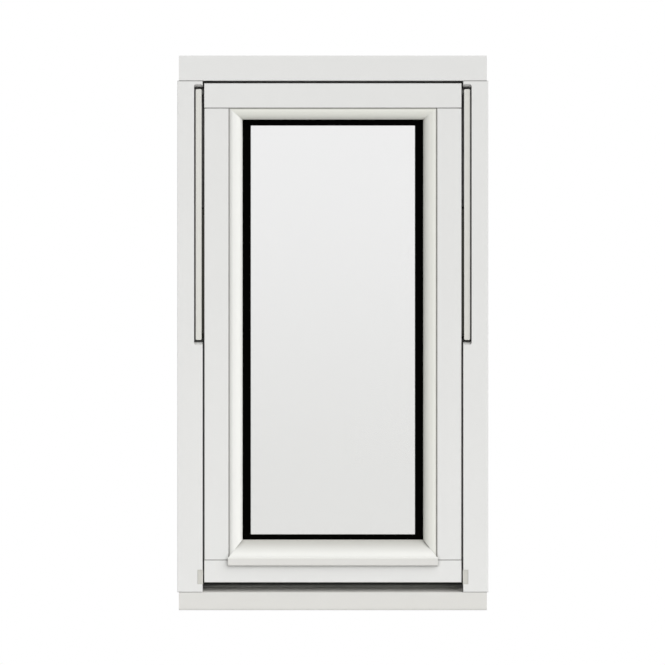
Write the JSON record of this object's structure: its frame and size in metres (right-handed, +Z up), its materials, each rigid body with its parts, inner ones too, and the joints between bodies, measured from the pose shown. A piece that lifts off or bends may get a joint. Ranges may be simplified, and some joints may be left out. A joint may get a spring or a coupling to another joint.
{
  "type": "pivot window",
  "caption": "White timber pivot window in its frame: a glazed sash on side arms, its top guided down tracks in the jambs as the foot swings out.",
  "frame": {"origin": "middle of the sill's underside", "axes": "+X along the sill to the right seen from outside, +Y from outside to inside, +Z up"},
  "size_m": [0.5048, 0.12, 0.9],
  "materials": {
    "white_paint": "satin paint",
    "track_paint": "painted",
    "white_plastic": "matt",
    "grey_plastic": "matt",
    "zinc_steel": "zinc",
    "dark_steel": "dark coat",
    "handle_metal": "satin",
    "black_rubber": "matt",
    "black_spacer": "matt",
    "clear_glass": "clear"
  },
  "bodies": {
    "frame": {"frame_head": "white_paint", "frame_sill": "white_paint", "frame_jamb_left": "white_paint", "frame_jamb_right": "white_paint", "jamb_stop_left": "white_paint", "jamb_stop_right": "white_paint", "frame_seal": "black_rubber", "guide_block_left": "white_plastic", "guide_block_right": "white_plastic", "keep_plate_left": "zinc_steel", "keep_plate_right": "zinc_steel", "slide_track_left": "track_paint", "slide_track_right": "track_paint", "pivot_post_left": "dark_steel", "pivot_post_right": "dark_steel"},
    "sash": {"sash_top_rail": "white_paint", "sash_bottom_rail": "white_paint", "sash_stile_left": "white_paint", "sash_stile_right": "white_paint", "glazing_bead_top": "white_paint", "glazing_bead_left": "white_paint", "glazing_bead_right": "white_paint", "weather_bead": "white_paint", "hinge_plate_left": "dark_steel", "hinge_plate_right": "dark_steel", "glazing_gasket": "black_rubber", "spacer_bar": "black_spacer", "glazing_tape": "black_rubber", "setting_blocks": "grey_plastic", "outer_pane": "clear_glass", "inner_pane": "clear_glass", "handle_rose": "handle_metal"},
    "arm_left": {"pivot_arm_left": "dark_steel"},
    "arm_right": {"pivot_arm_right": "dark_steel"},
    "shoe_left": {"slide_shoe_left": "grey_plastic"},
    "shoe_right": {"slide_shoe_right": "grey_plastic"},
    "handle": {"handle_lever": "handle_metal", "handle_spindle": "zinc_steel"},
    "bolt_left": {"lock_bolt_left": "zinc_steel"},
    "bolt_right": {"lock_bolt_right": "zinc_steel"}
  },
  "joints": [
    {"name": "arm_left_swing", "type": "hinge", "parent": "frame", "child": "arm_left", "pos_m": [-0.21085, -0.0425, 0.45], "axis": [1, 0, 0], "range_deg": [0, 75]},
    {"name": "sash_swing", "type": "hinge", "parent": "arm_left", "child": "sash", "pos_m": [-0.21085, -0.0425, 0.645], "axis": [1, 0, 0], "range_deg": [-150, 0]},
    {"name": "arm_right_swing", "type": "hinge", "parent": "frame", "child": "arm_right", "pos_m": [0.21085, -0.0425, 0.45], "axis": [1, 0, 0], "range_deg": [0, 75]},
    {"name": "shoe_left_turn", "type": "hinge", "parent": "sash", "child": "shoe_left", "pos_m": [-0.21085, -0.0425, 0.84], "axis": [1, 0, 0], "range_deg": [0, 75]},
    {"name": "shoe_right_turn", "type": "hinge", "parent": "sash", "child": "shoe_right", "pos_m": [0.21085, -0.0425, 0.84], "axis": [1, 0, 0], "range_deg": [0, 75]},
    {"name": "handle_turn", "type": "hinge", "parent": "sash", "child": "handle", "pos_m": [0, 0.02, 0.069], "axis": [0, -1, 0], "range_deg": [0, 90]},
    {"name": "bolt_left_slide", "type": "slide", "parent": "sash", "child": "bolt_left", "axis": [-1, 0, 0], "range_m": [0, 0.014]},
    {"name": "bolt_right_slide", "type": "slide", "parent": "sash", "child": "bolt_right", "axis": [1, 0, 0], "range_m": [0, 0.014]}
  ],
  "couplings": [
    {"joint": "sash_swing", "follows": "arm_left_swing", "ratio": -2},
    {"joint": "arm_right_swing", "follows": "arm_left_swing", "ratio": 1},
    {"joint": "shoe_left_turn", "follows": "arm_left_swing", "ratio": 1},
    {"joint": "shoe_right_turn", "follows": "arm_left_swing", "ratio": 1},
    {"joint": "bolt_left_slide", "follows": "handle_turn", "m_per_rad": 0.0089038},
    {"joint": "bolt_right_slide", "follows": "handle_turn", "m_per_rad": 0.0089038}
  ]
}
